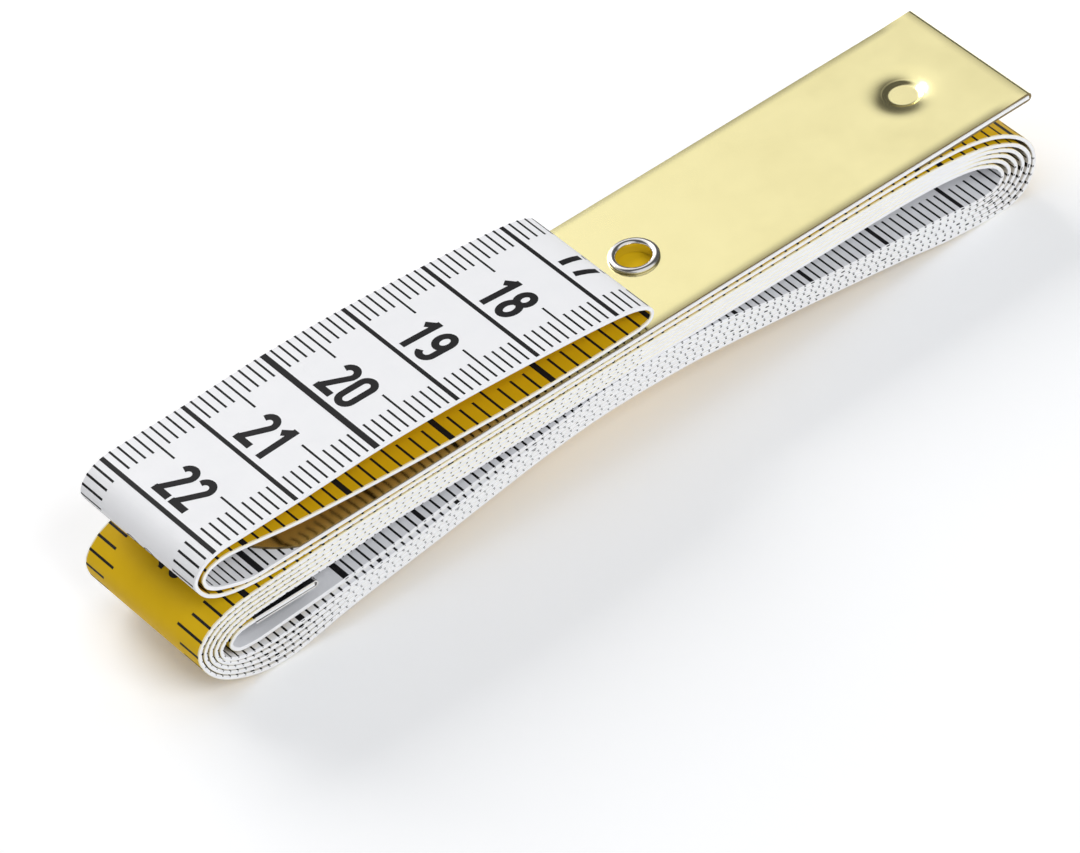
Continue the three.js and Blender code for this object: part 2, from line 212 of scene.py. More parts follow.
ring = over + right_bend + under
first_share = np.array([s[2] for s in ring])
ring_outer, ring_inner = faces_of(ring)
left_outer, left_inner = faces_of(left_bend)
across_right = np.concatenate([np.zeros(len(over)), np.linspace(0.1, 0.9, len(right_bend)),
                               np.ones(len(under))])
across_left = np.linspace(0.1, 0.9, len(left_bend))
span = np.linalg.norm(ring_inner - ring_outer, axis=1)
pitch = span * (1 - first_share) / (turns - 2)
pressed = (across_right > 0) & (across_right < 1)
full = np.where(pressed, tape_thick, np.clip(room_used * pitch, tape_thick, fullest))
wound = []
for turn in range(turns):
    share = first_share + (1 - first_share) * (turn - 1) / (turns - 2) if turn else np.zeros(len(ring))
    places = ring_outer + (ring_inner - ring_outer) * share[:, None]
    sideways = side_over[turn] + (side_under[turn] - side_over[turn]) * across_right
    if turn == turns - 1:
        sideways += set_back * across_right * np.clip((set_back_from - places[:, 0]) / set_back_over, 0, 1)
    thick = full if turn else np.where(across_right > 0, full, tape_thick)
    wound.append(np.column_stack([places, sideways, thick]))
    if turn < turns - 1:
        places = left_outer + (left_inner - left_outer) * turn / (turns - 2)
        sideways = side_under[turn] + (side_over[turn + 1] - side_under[turn]) * across_left
        wound.append(np.column_stack([places, sideways, np.full(len(places), tape_thick)]))
tail_line = aside(np.array([ring[-1][1], *tail]), half_thick)[1:]
tail_side = np.linspace(side_under[-1] + set_back, side_under[-1], len(tail_line))
wound.append(np.column_stack([tail_line, tail_side, np.full(len(tail_line), tape_thick)]))
lead_places = free_end[::lead_step][:-lead_spare]
lead_in = np.column_stack([lead_places, np.zeros(len(lead_places)),
                           np.full(len(lead_places), tape_thick)])
route = smooth(np.vstack([lead_in, *wound]))
route_steps = np.linalg.norm(np.diff(route[:, :2], axis=0), axis=1)
travel = np.concatenate([[0], np.cumsum(route_steps)])
print("tape route", round(travel[-1], 1), "mm long")

# %% Measure the tightest place between passes
spot_step, look_within, another_pass = 4, 0.5, 20
spots = np.arange(0, len(route), spot_step)
near_spots = KDTree(len(spots))
for i in spots:
    near_spots.insert((route[i, 0], route[i, 1], 0), int(i))
near_spots.balance()
pairs = []
for i in spots:
    for _, j, near in near_spots.find_range((route[i, 0], route[i, 1], 0), look_within):
        if travel[j] - travel[i] > another_pass:
            pairs.append((near, i, j))
near, i, j = min(pairs)
print("tightest passes:", round(near, 3), "mm between middles at",
      [round(v, 1) for v in route[i, :2]], "after", round(travel[i]), "and", round(travel[j]), "mm")

# %% [markdown]
# A mark or a mesh row is placed by three numbers: how far along the tape, how far across it, and how far
# above its middle towards the white face. This one function is the only place where the tape bends.

# %% Put a point on the tape
heading = np.gradient(route[:, :2], travel, axis=0)
heading /= np.linalg.norm(heading, axis=1)[:, None]


def on_tape(along, across, height):
    """Points in the frame, for places on the flat tape in mm."""
    flat = (np.asarray(v, float) for v in (along, across, height))
    along, across, height = np.broadcast_arrays(*flat)
    columns = (*route.T, *heading.T)
    x, z, side, thick, dx, dz = (np.interp(along, travel, column) for column in columns)
    height = height * thick / tape_thick
    return in_frame(x + dz * height, across + side, z - dx * height)


# %% [markdown]
# ## Finishes
# Each finish is a small node tree on a Principled shader. The tape's finishes read an attribute that holds
# the place on the flat tape, so the weave runs along the ribbon round every bend. Values that are the
# same all over are set on the shader itself.

# %% Helpers for finishes
def start_finish(name, color, roughness, metallic=0.0, **sockets):
    """A material, its node tree and its shader, with the plain values set."""
    material = bpy.data.materials.new(name)
    material.use_nodes = True
    shader = material.node_tree.nodes["Principled BSDF"]
    shader.inputs["Base Color"].default_value = (*color, 1)
    shader.inputs["Roughness"].default_value = roughness
    shader.inputs["Metallic"].default_value = metallic
    for socket, value in sockets.items():
        shader.inputs[socket.replace("_", " ")].default_value = value
    return material, material.node_tree, shader


def add_node(tree, kind, inputs=(), **settings):
    """A node with its settings, and its inputs set to values or linked to other nodes' outputs."""
    node = tree.nodes.new(kind)
    for name, value in settings.items():
        setattr(node, name, value)
    for key, value in dict(inputs).items():
        if isinstance(value, bpy.types.NodeSocket):
            tree.links.new(value, node.inputs[key])
        else:
            node.inputs[key].default_value = value
    return node


def ranged(tree, source, low, high):
    """A value from 0 to 1 turned into one from low to high."""
    node = add_node(tree, "ShaderNodeMapRange", {"Value": source, "To Min": low, "To Max": high})
    return node.outputs["Result"]


def noise(tree, place, scale, detail):
    """Soft random blotches from 0 to 1."""
    inputs = {"Vector": place, "Scale": scale, "Detail": detail}
    return add_node(tree, "ShaderNodeTexNoise", inputs).outputs["Fac"]


def mixed(tree, factor, first, second):
    """A colour between two others."""
    node = add_node(tree, "ShaderNodeMix", {"Factor": factor}, data_type="RGBA")
    node.inputs[6].default_value = (*first, 1)
    node.inputs[7].default_value = (*second, 1)
    return node.outputs[2]


def calculated(tree, operation, first, second):
    """The result of a sum on two values."""
    return add_node(tree, "ShaderNodeMath", {0: first, 1: second}, operation=operation).outputs[0]


def roughen(tree, shader, height, strength, depth):
    """Bumps of that depth in millimetres."""
    bump = add_node(tree, "ShaderNodeBump", {"Height": height, "Strength": strength, "Distance": depth * MM})
    tree.links.new(bump.outputs["Normal"], shader.inputs["Normal"])


# %% The two coats, the woven edge and the ink
def coat_finish(name, color, shade, roughness, shine):
    """A satin vinyl coat over cloth: faint weave, soft blotches, uneven gloss."""
    material, tree, shader = start_finish(name, color, roughness, Specular_IOR_Level=shine)
    place = add_node(tree, "ShaderNodeAttribute", attribute_name="tape_mm").outputs["Vector"]
    blotch = noise(tree, place, 0.35, 5.0)
    grain = noise(tree, place, 5.0, 3.0)
    tree.links.new(mixed(tree, blotch, color, shade), shader.inputs["Base Color"])
    tree.links.new(ranged(tree, blotch, roughness - 0.08, roughness + 0.1), shader.inputs["Roughness"])
    wave = {"Vector": place, "Scale": 0.62, "Distortion": 0.4}
    threads = [add_node(tree, "ShaderNodeTexWave", wave, bands_direction=way).outputs["Fac"] for way in "XY"]
    weave = calculated(tree, "MULTIPLY", threads[0], threads[1])
    roughen(tree, shader, calculated(tree, "ADD", grain, weave), 0.1, 0.02)
    return material


white_coat = coat_finish("white_vinyl", (0.86, 0.86, 0.88), (0.81, 0.815, 0.84), 0.5, 0.35)
yellow_coat = coat_finish("yellow_vinyl", (0.77, 0.49, 0.009), (0.71, 0.445, 0.006), 0.52, 0.08)


def edge_finish(name, color, shade):
    """The cut side of the weave: soft threads that run along the tape."""
    material, tree, shader = start_finish(name, color, 0.75, Specular_IOR_Level=0.2)
    place = add_node(tree, "ShaderNodeAttribute", attribute_name="tape_mm").outputs["Vector"]
    stretch = {"Vector": place, "Scale": (1.2, 3.0, 12.0)}
    threads = add_node(tree, "ShaderNodeMapping", stretch).outputs["Vector"]
    fluff = noise(tree, threads, 1.0, 4.0)
    tree.links.new(mixed(tree, fluff, color, shade), shader.inputs["Base Color"])
    roughen(tree, shader, fluff, 0.35, 0.05)
    return material


woven_edge = edge_finish("woven_edge", (0.94, 0.935, 0.93), (0.78, 0.78, 0.8))
# A pale yellow edge finish: the yellow dye that reaches into the woven edge, painted lighter still as
# painted light for the shaded gaps between turns.
dyed_edge_painted_light = edge_finish("dyed_edge_painted_light", (0.92, 0.87, 0.68), (0.88, 0.79, 0.5))
ink, tree, shader = start_finish("ink", (0.012, 0.012, 0.013), 0.6, Specular_IOR_Level=0.12)
specks = add_node(tree, "ShaderNodeTexNoise", {"Scale": 900.0, "Detail": 3.0}).outputs["Fac"]
ink_shades = mixed(tree, specks, (0.007, 0.007, 0.008), (0.018, 0.017, 0.019))
tree.links.new(ink_shades, shader.inputs["Base Color"])
tree.links.new(ranged(tree, specks, 0.42, 0.68), shader.inputs["Roughness"])
print("tape finishes:", [m.name for m in (white_coat, yellow_coat, woven_edge, dyed_edge_painted_light, ink)])

# %% [markdown]
# ## The tape
# A ribbon could be a plane with a Solidify modifier, but then its cut edge could not have its own finish.
# So each stretch is a closed strip: the same small cross-section is set down row by row along the
# route, with rows close together where it bends and far apart where it runs straight.

# %% Make a mesh from arrays
def add_mesh(name, points, faces, finishes, finish_of_face=None, smooth_below=30):
    """A mesh object of the given faces, with smooth shading below that angle in degrees."""
    mesh = bpy.data.meshes.new(name)
    mesh.from_pydata(np.asarray(points).tolist(), [], [list(f) for f in faces])
    for finish in finishes:
        mesh.materials.append(finish)
    if finish_of_face is not None:
        mesh.polygons.foreach_set("material_index", np.asarray(finish_of_face, np.int32))
    mesh.shade_smooth()
    mesh.set_sharp_from_angle(angle=math.radians(smooth_below))
    mesh.validate()
    made = bpy.data.objects.new(name, mesh)
    bpy.context.scene.collection.objects.link(made)
    return made


# %% Lay a strip of tape
corner, bare_margin = 0.05, 0.2
section = [(-half_width + corner, half_thick), (half_width - corner, half_thick),
           (half_width, half_thick - corner), (half_width, -half_thick + corner),
           (half_width - corner, -half_thick), (half_width - bare_margin, -half_thick),
           (-half_width + bare_margin, -half_thick), (-half_width + corner, -half_thick),
           (-half_width, -half_thick + corner), (-half_width, half_thick - corner)]
# The yellow face's narrow margins and lower corners take the pale yellow edge finish: partly dye, partly
# painted light.
WHITE, EDGE, YELLOW, DYED_LIT = 0, 1, 2, 3
section_finish = [WHITE, EDGE, EDGE, DYED_LIT, DYED_LIT, YELLOW, DYED_LIT, DYED_LIT, EDGE, EDGE]
straight_row, bend_row = 3.0, math.radians(7)


def tape_strip(name, start, end):
    """A closed strip of tape between two distances along the route."""
    turning = np.unwrap(np.arctan2(heading[:, 1], heading[:, 0]))
    rows_used = np.diff(travel) / straight_row + np.abs(np.diff(turning)) / bend_row
    need = np.concatenate([[0], np.cumsum(rows_used)])
    first, last = np.interp([start, end], travel, need)
    rows = np.interp(np.linspace(first, last, int(last - first) + 2), need, travel)
    across, height = np.array(section).T
    points = on_tape(rows[:, None], across[None], height[None])
    count, size = points.shape[:2]
    index = np.arange(count * size).reshape(count, size)
    turned = np.roll(index, -1, axis=1)
    faces = np.stack([index[:-1], index[1:], turned[1:], turned[:-1]], -1).reshape(-1, 4).tolist()
    faces += [index[0].tolist(), index[-1][::-1].tolist()]
    finish = section_finish * (count - 1) + [EDGE, EDGE]
    finishes = [white_coat, woven_edge, yellow_coat, dyed_edge_painted_light]
    made = add_mesh(name, points.reshape(-1, 3), faces, finishes, finish)
    flat = np.stack(np.broadcast_arrays(rows[:, None], across[None], height[None]), -1)
    tape_mm = made.data.attributes.new("tape_mm", "FLOAT_VECTOR", "POINT")
    tape_mm.data.foreach_set("vector", flat.ravel())
    print(name, round(end - start, 1), "mm of tape in", count, "rows")
    return made


# %% [markdown]
# The tape is one ribbon, but it bends at two hinges of the frame, so the ribbon is cut into three: the roll
# with the outer fold, the loop, and the end with the inner fold. A mesh can blend across one joint only, so
# the ribbon is cut into three: the roll with the outer fold, the loop, and the end with the inner fold.
# The first cut lies under the printed 22 cm line and the second inside the loop, where no one sees them.

# %% Scale places, cuts and the three strips
scale_mark, scale_along = [0, 240, 1500, 1524], [-1, 239, 1501.6, 1525.7]


def at_mark(mark):
    """How far along the route the printed scale reads this many millimetres."""
    return np.interp(mark, scale_mark, scale_along)


def nearest_along(x, z, low, high):
    """How far along the route, between two limits, it passes nearest to a side-view place."""
    near = np.linalg.norm(route[:, :2] - (x, z), axis=1)
    near[(travel < low) | (travel > high)] = np.inf
    return travel[np.argmin(near)]


crest = nearest_along(-102.83, 3.73, 90, 130)
roll_start = at_mark(220)
tape_end = tape_strip("tape_end", 0, crest)
tape_loop = tape_strip("tape_loop", crest, roll_start)
tape_roll = tape_strip("tape_roll", roll_start, travel[-1])

# %% [markdown]
# The end strip has two round holes: the eyelet's barrel passes through one, and the pressed dimple fills
# the other. A Boolean modifier cuts them, and its result is kept as the mesh.

# %% Punch the end strip
dimple_x, dimple_hole, eyelet_hole = -9.3, 3.7, 2.15


def punch(target, x, radius):
    """Cuts a round upright hole through a mesh at a ruler place."""
    bpy.ops.mesh.primitive_cylinder_add(vertices=64, radius=radius * MM, depth=6 * MM,
                                        location=in_frame(x, 0, 0))
    cutter = bpy.context.object
    hole = target.modifiers.new("hole", "BOOLEAN")
    hole.object, hole.operation, hole.solver = cutter, "DIFFERENCE", "EXACT"
    bpy.context.view_layer.update()
    old = target.data
    cut = target.evaluated_get(bpy.context.evaluated_depsgraph_get())
    target.data = bpy.data.meshes.new_from_object(cut)
    target.modifiers.remove(hole)
    bpy.data.meshes.remove(old)
    bpy.data.objects.remove(cutter)


punch(tape_end, eyelet_x, eyelet_hole)
punch(tape_end, dimple_x, dimple_hole)
print("end strip punched:", len(tape_end.data.polygons), "faces")

# %% [markdown]
# ## The print
# The scales are screen-printed, so every tick, line and number is a thin raised film of ink. Each one is
# made as a closed slab laid on the tape, so it stays sharp in any render and in the exported mesh. Where
# the print runs off the side of the tape, a dot of ink is left on the cut edge. Under the roll's right
# half the dots are drawn bolder and reach further down the edge.

# %% Slabs of ink
ink_rise, ink_sink = 0.012, 0.004
white_film = (half_thick - ink_sink, half_thick + ink_rise)
yellow_film = (-half_thick - ink_rise, -half_thick + ink_sink)
box_faces = np.array([[0, 1, 3, 2], [4, 6, 7, 5], [0, 4, 5, 1], [2, 3, 7, 6], [0, 2, 6, 4],
                      [1, 5, 7, 3]])
dot_low, dot_high, bold_drop = 0.1, 0.17, 0.06


def slabs(along, width, low, high, film):
    """Rows of (start, end, low side, high side, bottom, top), one for each slab of ink."""
    columns = (along - width / 2, along + width / 2, low, high, *film)
    return np.column_stack(np.broadcast_arrays(*(np.asarray(c, float) for c in columns)))


def edge_marks(along, width, length, film, front_gap, back_gap):
    """Ticks that start at both edges of the tape."""
    front = slabs(along, width, -half_width + front_gap, -half_width + front_gap + length, film)
    back = slabs(along, width, half_width - back_gap - length, half_width - back_gap, film)
    return np.vstack([front, back])


def edge_dots(along, width, bold):
    """Ink that ran over onto both cut edges, and further down them where it is bold."""
    reach = (dot_low - bold_drop * bold, dot_high)
    front = slabs(along, width, -half_width - ink_rise, -half_width + ink_sink, reach)
    back = slabs(along, width, half_width - ink_sink, half_width + ink_rise, reach)
    return np.vstack([front, back])


# %% Centimetres on white, inches on yellow
tick_wide, line_wide, ten_wide = 0.24, 0.5, 0.72
tick_long, five_long, tick_gap, plain_gap = 3.4, 5.5, 0.03, 0.3
line_front_gap, line_back_gap = 0.1, 0.05
dot_share, bold_extra, bold_from, bold_over = 0.58, 0.3, -55, 20
bared_z, bared_after, bared_before = -5.5, 900, 120
bared_length, bared_wider, bared_long, bared_gap = 38, 0.08, 0.8, 0.02
inch, inch_shift, inch_gap = 25.4, -0.6, 0.12
sixteenth_wide, half_inch_wide = 0.28, 0.7
sixteenth_long, quarter_long, half_inch_long = 3.0, 4.0, 5.5
plate_covers, leaf_covers = 93.0, 15.5
bare_band_from = -52
roll_from = at_mark(236)

millimetres = np.arange(1, 1501)
along_mm = at_mark(millimetres)
shown = along_mm > plate_covers
millimetres, along_mm = millimetres[shown], along_mm[shown]
is_line = millimetres % 10 == 0
mm_wide = np.where(is_line, np.where(millimetres % 100 == 0, ten_wide, line_wide), tick_wide)
mm_long = np.where(millimetres % 10 == 5, five_long, tick_long)
mm_x = np.interp(along_mm, travel, route[:, 0])
on_top = np.interp(along_mm, travel, heading[:, 0]) > 0
plain_edge = (along_mm < roll_from) | (on_top & (mm_x > bare_band_from))
front_gap = np.where(plain_edge, plain_gap, tick_gap)[~is_line]
dotted = ~plain_edge
bold = np.where(on_top, 0, np.clip((mm_x - bold_from) / bold_over, 0, 1))[dotted]
bared_from = nearest_along(set_back_from, bared_z, bared_after, travel[-1] - bared_before)
bared = (along_mm > bared_from) & (along_mm < bared_from + bared_length)
marks = [edge_marks(along_mm[~is_line], tick_wide, mm_long[~is_line], white_film, front_gap, tick_gap),
         slabs(along_mm[is_line], mm_wide[is_line], -half_width + line_front_gap,
               half_width - line_back_gap, white_film),
         edge_dots(along_mm[dotted], (dot_share + bold_extra * bold) * mm_wide[dotted], bold),
         edge_marks(along_mm[bared], mm_wide[bared] + bared_wider, bared_long, white_film,
                    bared_gap, bared_gap)]

sixteenths = np.arange(1, 60 * 16)
along_16 = at_mark(sixteenths * inch / 16 + inch_shift)
shown = along_16 > leaf_covers
sixteenths, along_16 = sixteenths[shown], along_16[shown]
is_half = sixteenths % 8 == 0
inch_wide = np.where(is_half, half_inch_wide, sixteenth_wide)
short_long = np.where(sixteenths % 4 == 0, quarter_long, sixteenth_long)
inch_long = np.where(is_half, half_inch_long, short_long)
marks.append(edge_marks(along_16, inch_wide, inch_long, yellow_film, inch_gap, inch_gap))
marks = np.vstack(marks)
print(len(marks), "printed marks and edge dots")

# %% [markdown]
# The numbers are plain condensed figures, as on any tape. A font would do, but strokes drawn with one
# pen give the same even weight with no font file. Each figure is a set of pen strokes, which a
# constrained triangulation melts into one flat shape without overlaps.

# %% Draw the ten figures
figure_wide, figure_high, pen = 2.5, 4.95, 0.81
near, far, middle = pen / 2, figure_wide - pen / 2, figure_wide / 2
foot, head = pen / 2, figure_high - pen / 2
bowl = (far - near) / 2


def sweep(x, y, run, rise, start, end, steps=12):
    """Points along an arc, between two angles in degrees."""
    angles = np.radians(np.linspace(start, end, steps + 1))
    return [(x + run * math.cos(a), y + rise * math.sin(a)) for a in angles]


top_bowl = head - bowl
six = [sweep(middle, foot + 1.05, bowl, 1.05, 0, 360, 24),
       sweep(middle, top_bowl, bowl, bowl, 20, 180) + [(near, foot + 1)]]
figures = {
    "0": [sweep(middle, top_bowl, bowl, bowl, 0, 180) + sweep(middle, foot + bowl, bowl, bowl, 180, 360)
          + [(far, top_bowl)]],
    "1": [[(1.5, 0), (1.5, figure_high)], [(1.5, 4.55), (0.45, 3.7)]],
    "2": [sweep(middle, top_bowl, bowl, bowl, 172, -32) + [(0.4, 0.3)], [(0.08, foot), (figure_wide, foot)]],
    "3": [sweep(middle, head - 0.94, bowl - 0.04, 0.94, 160, -88),
          sweep(middle, foot + 1.15, bowl, 1.15, 88, -160)],
    "4": [[(1.5, figure_high), (0.3, 1.25)], [(0.05, 1.25), (figure_wide, 1.25)], [(1.75, 2.6), (1.75, 0)]],
    "5": [[(2.3, head), (0.5, head)], [(0.6, figure_high), (0.5, 2.4)],
          sweep(middle - 0.05, foot + 1.1, bowl, 1.1, 130, -155)],
    "6": six,
    "7": [[(0.08, head), (2.42, head)], [(2.1, 4.72), (0.95, 0)]],
    "8": [sweep(middle, head - 0.94, bowl - 0.06, 0.94, 0, 360, 24),
          sweep(middle, foot + 1.15, bowl, 1.15, 0, 360, 24)],
    "9": [[(figure_wide - x, figure_high - y) for x, y in stroke] for stroke in six],
}


# %% Melt the strokes of a figure into one flat shape
level_step = 0.6


def pen_quads(stroke):
    """The four corners of each straight piece of a pen stroke, mitred at its joins."""
    p = np.array(stroke, float)
    closed = np.linalg.norm(p[0] - p[-1]) < 1e-6
    step = np.diff(p, axis=0)
    normal = np.stack([-step[:, 1], step[:, 0]], 1) / np.linalg.norm(step, axis=1)[:, None]
    before = np.vstack([normal[-1:] if closed else normal[:1], normal])
    after = np.vstack([normal, normal[:1] if closed else normal[-1:]])
    joint = (before + after) / (1 + (before * after).sum(1))[:, None]
    left, right = p + joint * pen / 2, p - joint * pen / 2
    return np.stack([right[:-1], right[1:], left[1:], left[:-1]], 1)


def melt(strokes):
    """Corners, triangles and outline edges of a figure, crossed by level cuts so that it can bend."""
    quads = np.vstack([pen_quads(stroke) for stroke in strokes])
    corners = [Vector(c) for c in quads.reshape(-1, 2)]
    areas = np.arange(len(corners)).reshape(-1, 4).tolist()
    cuts = []
    for level in np.arange(level_step, figure_high, level_step):
        cuts.append((len(corners), len(corners) + 1))
        corners += [Vector((-1, level)), Vector((figure_wide + 1, level))]
    found = delaunay_2d_cdt(corners, cuts, areas, 0, 1e-5, True)
    triangles = np.array([face for face, source in zip(found[2], found[5]) if source])
    used, triangles = np.unique(triangles, return_inverse=True)
    triangles = triangles.reshape(-1, 3)
    edges = np.vstack([triangles[:, [0, 1]], triangles[:, [1, 2]], triangles[:, [2, 0]]])
    seen = {tuple(e) for e in edges.tolist()}
    outline = np.array([e for e in edges.tolist() if (e[1], e[0]) not in seen])
    return np.array([found[0][i][:] for i in used]), triangles, outline


shapes = {figure: melt(strokes) for figure, strokes in figures.items()}
print("figures drawn with", {k: len(v[1]) for k, v in shapes.items()}, "triangles")

# %% [markdown]
# A number stands on its own line, with its top towards the zero end, and it reads from one edge to the
# other. The inch figures on the yellow face are smaller and stand between the two halves of their line.

# %% Set the numbers on the tape
figure_step, figure_aside, stand_off, eyelet_clear = 2.78, 0.2, 0.9, 4.0
inch_figure, inch_stand_off = 0.72, -0.1


def number(text, line_along, film, stand_off, size=1.0):
    """Points and faces of a printed number that stands on its line."""
    points, faces, count = [], [], 0
    start = -(figure_step * len(text) - (figure_step - figure_wide)) / 2
    for i, figure in enumerate(text):
        flat, triangles, outline = shapes[figure]
        across = -size * (start + i * figure_step + flat[:, 0]) - figure_aside
        along = line_along - stand_off - size * flat[:, 1]
        corners = len(flat)
        points += [on_tape(along, across, film[0]), on_tape(along, across, film[1])]
        walls = np.column_stack([outline, outline[:, ::-1] + corners])
        for part in (triangles, triangles[:, ::-1] + corners, walls):
            faces += (part + count).tolist()
        count += 2 * corners
    return np.vstack(points), faces


numbers = []
for cm in range(11, 151):
    line = at_mark(10 * cm)
    if line > plate_covers + figure_high:
        numbers.append((line, number(str(cm), line, white_film, stand_off)))
for inches in range(1, 60):
    line = at_mark(inches * inch + inch_shift)
    if abs(line - stand_off - figure_high / 2 + eyelet_x) > eyelet_clear:
        numbers.append((line, number(str(inches), line, yellow_film, inch_stand_off, inch_figure)))
print(len(numbers), "numbers set")


# %% Gather the print of each strip
def print_piece(name, start, end):
    """All ink whose place along the tape is between two distances, as one mesh."""
    place = marks[:, :2].mean(1)
    rows = marks[(place >= start) & (place < end)]
    pick = np.array([(a, b, c) for a in (0, 1) for b in (2, 3) for c in (4, 5)])
    points = [on_tape(rows[:, pick[:, 0]], rows[:, pick[:, 1]], rows[:, pick[:, 2]]).reshape(-1, 3)]
    faces = (box_faces[None] + 8 * np.arange(len(rows))[:, None, None]).reshape(-1, 4).tolist()
    count = 8 * len(rows)
    for line, (shape, sides) in numbers:
        if start <= line < end:
            points.append(shape)
            faces += [[i + count for i in side] for side in sides]
            count += len(shape)
    made = add_mesh(name, np.vstack(points), faces, [ink])
    work = bmesh.new()
    work.from_mesh(made.data)
    bmesh.ops.recalc_face_normals(work, faces=work.faces)
    work.to_mesh(made.data)
    work.free()
    print(name, len(made.data.polygons), "faces")
    return made


roll_half_way = 820.0
end_print = print_piece("end_print", 0, crest)
loop_print = print_piece("loop_print", crest, roll_start + line_wide)
outer_print = print_piece("outer_roll_print", roll_start + line_wide, roll_half_way)
inner_print = print_piece("inner_roll_print", roll_half_way, travel[-1])

# %% [markdown]
# The roll's strip and its outer print, and the end's strip and its print, are fixed in the frame where they
# lie. The loop's strip and print go with the loop, and the roll's inner print goes with the roll. The roll's
# print is in two pieces, to keep each mesh light, and the inner one never bends.

# %% Tie the tape to the frame
for piece in (tape_roll, outer_print):
    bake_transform(piece)
for piece in (tape_end, end_print):
    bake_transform(piece)
for piece in (tape_loop, loop_print):
    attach(piece, "loop")
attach(inner_print, "roll")


def coats_of(strip):
    """The CAD nodes of one strip of tape."""
    return [f"{strip}_white_coat", f"{strip}_cloth", f"{strip}_yellow_coat"]


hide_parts(*coats_of("outer_turn"), "packed_turns", *coats_of("inner_turn"))
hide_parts(*coats_of("loop"))
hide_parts(*coats_of("end_strip"))

# %% [markdown]
# ## The brass plate
# A long strip of thin brass, folded round the tape's free end and pinched to it by one pressed dimple. Its
# face is drawn in plan and triangulated, with rings of points round the dimple so that the dish is truly
# curved. Then the sheet gets its thickness, and the folded end is welded on.

# %% Brass and nickel
def metal_finish(name, color, shade, roughness, grain, dents):
    """Bright sheet metal: fine rolling lines along its length, uneven gloss and faint dents."""
    material, tree, shader = start_finish(name, color, roughness, metallic=1.0)
    place = add_node(tree, "ShaderNodeTexCoord").outputs["Object"]
    stretch = add_node(tree, "ShaderNodeMapping", {"Vector": place, "Scale": grain}).outputs["Vector"]
    lines = noise(tree, stretch, 1.0, 6.0)
    haze = noise(tree, place, 160.0, 4.0)
    tree.links.new(mixed(tree, haze, color, shade), shader.inputs["Base Color"])
    tree.links.new(ranged(tree, haze, roughness - 0.06, roughness + 0.1), shader.inputs["Roughness"])
    height = calculated(tree, "ADD", calculated(tree, "MULTIPLY", haze, dents), lines)
    roughen(tree, shader, height, 0.12, 0.02)
    return material


def tarnish(material, color, clear_x, reflection_x):
    """Darkens a metal along x towards a warmer colour: a painted reflection of the shade and warm bounced
    light under the loop.
    """
    tree = material.node_tree
    shader = tree.nodes["Principled BSDF"]
    bright = shader.inputs["Base Color"].links[0].from_socket
    place = add_node(tree, "ShaderNodeTexCoord").outputs["Object"]
    along = add_node(tree, "ShaderNodeSeparateXYZ", {0: place}).outputs["X"]
    span = {"Value": along, "From Min": clear_x, "From Max": reflection_x}
    reflected = add_node(tree, "ShaderNodeMapRange", span).outputs["Result"]
    tinted = add_node(tree, "ShaderNodeMix", {"Factor": reflected, 6: bright}, data_type="RGBA")
    tinted.inputs[7].default_value = (*color, 1)
    tree.links.new(tinted.outputs[2], shader.inputs["Base Color"])


lengthwise, layered = (400.0, 9000.0, 400.0), (400.0, 400.0, 9000.0)
even_grain = (2500.0, 2500.0, 2500.0)
clear_until, reflection_from = 57, 72
brass = metal_finish("brass", (0.95, 0.865, 0.47), (0.91, 0.82, 0.425), 0.17, lengthwise, 1.5)
# The sheet's cut sides get a rougher brass with a layered grain from shearing. Its dark brown is a painted
# dark reflection along the edges.
edge_brass_painted_dark = metal_finish("edge_brass_painted_dark", (0.3, 0.23, 0.11), (0.2, 0.15, 0.07), 0.45, layered, 1.0)
# Under the loop the brass is painted a deeper orange, a painted reflection of the shade and warm bounced
# light there.
tarnish(brass, (0.94, 0.63, 0.17), plate_high.x - clear_until * MM, plate_high.x - reflection_from * MM)
# Dark steel for the clip's flat leaves: painted shade for the narrow, deep slit they sit in.
steel_painted_shade = metal_finish("steel_painted_shade", (0.1, 0.1, 0.105), (0.06, 0.06, 0.062), 0.4, lengthwise, 1.0)
nickel = metal_finish("nickel", (0.92, 0.9, 0.88), (0.84, 0.82, 0.8), 0.1, even_grain, 0.5)

# %% The plate's face in plan
plate_half, plate_sheet = (plate_high.y - plate_low.y) / 2 / MM, 0.3
fold_radius = 0.53
inner_round = 5.3
arc_radius = (plate_half ** 2 + inner_round ** 2) / (2 * inner_round)
arc_reach = math.degrees(math.atan2(plate_half, arc_radius - inner_round))
arc_middle = arc_radius - plate_length
plan_edge = [(-fold_radius, -plate_half), (-fold_radius, plate_half)]
plan_edge += sweep(arc_middle, 0, arc_radius, arc_radius, 180 - arc_reach, 180 + arc_reach, 32)
dish_rings = [0.5, 1, 1.35, 1.45, 1.55, 1.65, 1.75, 1.85, 1.95, 2.05, 2.15, 2.25, 2.35,
              2.5, 2.7, 3, 3.4, 3.8, 4.2, 4.5, 4.75, 5, 5.4]
seat_rings = [2.15, 2.5, 3.1]
cross_lines = [-1.5, -2.5, -3.5, -4.5, -18, -27, -36, -56, -65, -74, -83, -91]
ring_points = 64
dish_reach, dish_depth = 5.0, 1.3
pit_rim, pit_floor, pit_depth = 2.25, 1.5, 0.47
roll_over, roll_drop, fade_in = 1.3, 0.12, 4.0
first_inset, inset_lines, arc_clear = 0.2, 5, 0.1


def dish(x, y):
    """How far the pressed dimple takes the sheet down: a soft dish with a flat-floored pit."""
    radius = np.hypot(np.asarray(x) - dimple_x, y)
    soft = dish_depth * (1 - np.clip(np.maximum(radius, pit_rim) / dish_reach, 0, 1)) ** 3
    share = np.clip((pit_rim - radius) / (pit_rim - pit_floor), 0, 1)
    return -soft - (pit_depth - soft) * share ** 2 * (3 - 2 * share)


